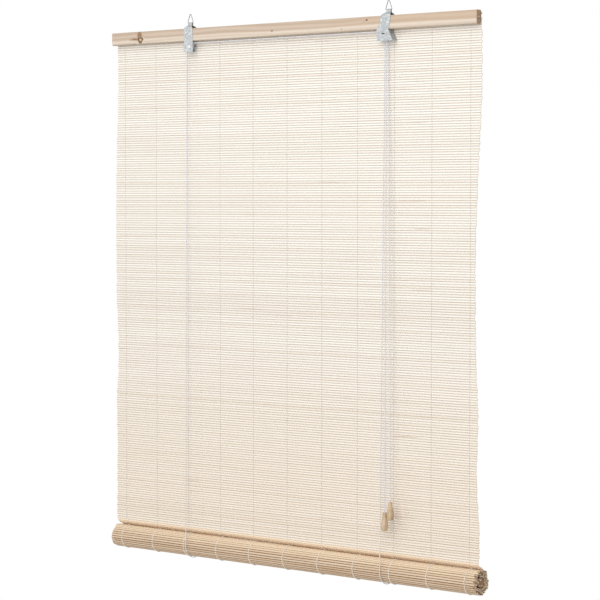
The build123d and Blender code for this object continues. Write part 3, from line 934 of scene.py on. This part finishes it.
crossing = [(leftAxle[0] - leftPitch, frontPlane, leftAxle[1] - stub)]
crossing += arc(leftAxle, leftPitch, 180, 90, inPlane(frontPlane))
crossing += arc(lockAxle, lockPitch, 90, 0, inPlane(frontPlane))
crossing.append((lockAxle[0] + lockPitch, frontPlane, lockAxle[1] - stub))
crossingCord, _ = cordMesh("crossing_cord_strands", crossing, "blind")
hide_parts("crossing_cord")
turn = [(lockAxle[0] - lockPitch, rearPlane, lockAxle[1] - stub)]
turn += arc(lockAxle, lockPitch, 180, 0, inPlane(rearPlane))
turn.append((lockAxle[0] + lockPitch, rearPlane, lockAxle[1] - stub))
turnCord, _ = cordMesh("lock_turn_cord_strands", turn, "blind")
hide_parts("lock_turn_cord")

# Pull cords, hanging from the lock with a tassel each, knotted in the recess of its foot
pulls = {
    "left": {"y": frontPlane, "tasselX": 0.277, "tasselTop": -1.0445},
    "right": {"y": rearPlane, "tasselX": 0.2915, "tasselTop": -1.021},
}
tasselY = -0.0174
tasselLength = 0.0365
tasselRecess = 0.0052
knotGap = 0.0003
for side, pull in pulls.items():
    start = Vector((lockAxle[0] + lockPitch, pull["y"], lockAxle[1] - stub))
    knotTop = pull["tasselTop"] - tasselLength + tasselRecess - knotGap
    high = start - Vector((0, 0, lead))
    low = Vector((pull["tasselX"], tasselY, pull["tasselTop"] + lead))
    way = (low - high).normalized()
    end = Vector((pull["tasselX"], tasselY, knotTop))
    line = curvePoints([start, high, high + way * lead, low - way * lead, low, end])
    cord, path = cordMesh(f"{side}_pull_cord_strands", line, None)
    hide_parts(f"{side}_pull_cord")
    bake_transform(cord)
    length = sum((b - a).length for a, b in zip(path, path[1:]))
print("cords made")

# Finishes of the CAD pieces, with cotton for the cords and knots
finishes = {
    "left_hanging_ring": wireMetal,
    "right_hanging_ring": wireMetal,
    "head_rail": railWood,
    "bottom_batten": battenWood,
    "left_bracket": sheetMetal,
    "lock_bracket": sheetMetal,
    "lock_roller": brassMetal,
    "left_pulley": pulleyPlastic,
    "front_lock_pulley": pulleyPlastic,
    "rear_lock_pulley": pulleyPlastic,
    "left_tassel": tasselWood,
    "right_tassel": tasselWood,
    "hanging_mat": matBamboo,
    "rolled_mat": rollBamboo,
    "warp_threads": warpThread,
    "bracket_nails": nailMetal,
    "left_pulley_rivet": nailMetal,
    "lock_pulley_pin": pinMetal,
    "mat_staples": nailMetal,
    "cord_anchor_nails": nailMetal,
}
for name, node in nodes.items():
    node.data.materials.clear()
    node.data.materials.append(finishes.get(name, cordCotton))
print("finishes set")

# Pale floor, below the tassels at their lowest
floorLook = {"z": -3.2, "half": 5.0, "colour": colour(240, 240, 240), "roughness": 0.9}
half = floorLook["half"]
corners = [(x * half, y * half, floorLook["z"]) for x, y in ((-1, -1), (1, -1), (1, 1), (-1, 1))]
floorMesh = bpy.data.meshes.new("floor")
floorMesh.from_pydata(corners, [], [(0, 1, 2, 3)])
floor = bpy.data.objects.new("floor", floorMesh)
scene.collection.objects.link(floor)
floorGraph = newMaterial("floor_pale")
floorPale = floorGraph.finish(Base_Color=floorLook["colour"], Roughness=floorLook["roughness"])
floorMesh.materials.append(floorPale)
floor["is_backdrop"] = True

# Soft studio light
lamps = [
    {"name": "key", "at": (1.2, -3.5, 0.25), "size": 3.4, "watts": 76.0},
    {"name": "top", "at": (0.2, -1.7, 1.7), "size": 2.4, "watts": 26.0},
    {"name": "fill", "at": (-2.6, -2.6, -0.6), "size": 2.6, "watts": 22.0},
    {"name": "rear", "at": (0.6, 2.8, 0.6), "size": 2.6, "watts": 30.0},
]
target = Vector((0.0, 0.0, -0.6))
for lamp in lamps:
    data = bpy.data.lights.new(lamp["name"], "AREA")
    data.size = lamp["size"]
    data.energy = lamp["watts"]
    made = bpy.data.objects.new(lamp["name"], data)
    made.location = lamp["at"]
    made.rotation_euler = (target - made.location).to_track_quat("-Z", "Y").to_euler()
    scene.collection.objects.link(made)

# White to the camera and in reflections, a softer level as light
skyLight = 0.455
studio = Graph(bpy.data.worlds.new("studio"))
seen = studio.make("ShaderNodeLightPath", output="Is Camera Ray")
for kind in ("Is Glossy Ray", "Is Transmission Ray"):
    seen = seen.larger(studio.make("ShaderNodeLightPath", output=kind))
level = seen * (1 - skyLight) + skyLight
sky = studio.make("ShaderNodeBackground", inputs={"Color": (1.0, 1.0, 1.0, 1.0), "Strength": level})
studio.make("ShaderNodeOutputWorld", inputs={"Surface": sky})
scene.world = studio.owner

# Camera level with the blind's upper part, at its right, with a long lens
cameraLook = {
    "at": (3.0159, -3.6013, -0.402),
    "turn": 39.585,
    "pitch": 2.617,
    "lens": 132.93,
    "sensor": 36.0,
    "farthest": 100.0,
}
cameraData = bpy.data.cameras.new("camera")
cameraData.lens = cameraLook["lens"]
cameraData.sensor_width = cameraLook["sensor"]
cameraData.clip_end = cameraLook["farthest"]
camera = bpy.data.objects.new("camera", cameraData)
camera.location = cameraLook["at"]
camera.rotation_euler = (math.radians(90 - cameraLook["pitch"]), 0.0, math.radians(cameraLook["turn"]))
scene.collection.objects.link(camera)
scene.camera = camera

low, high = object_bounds()
print("visual size", [round(b - a, 4) for a, b in zip(low, high)])
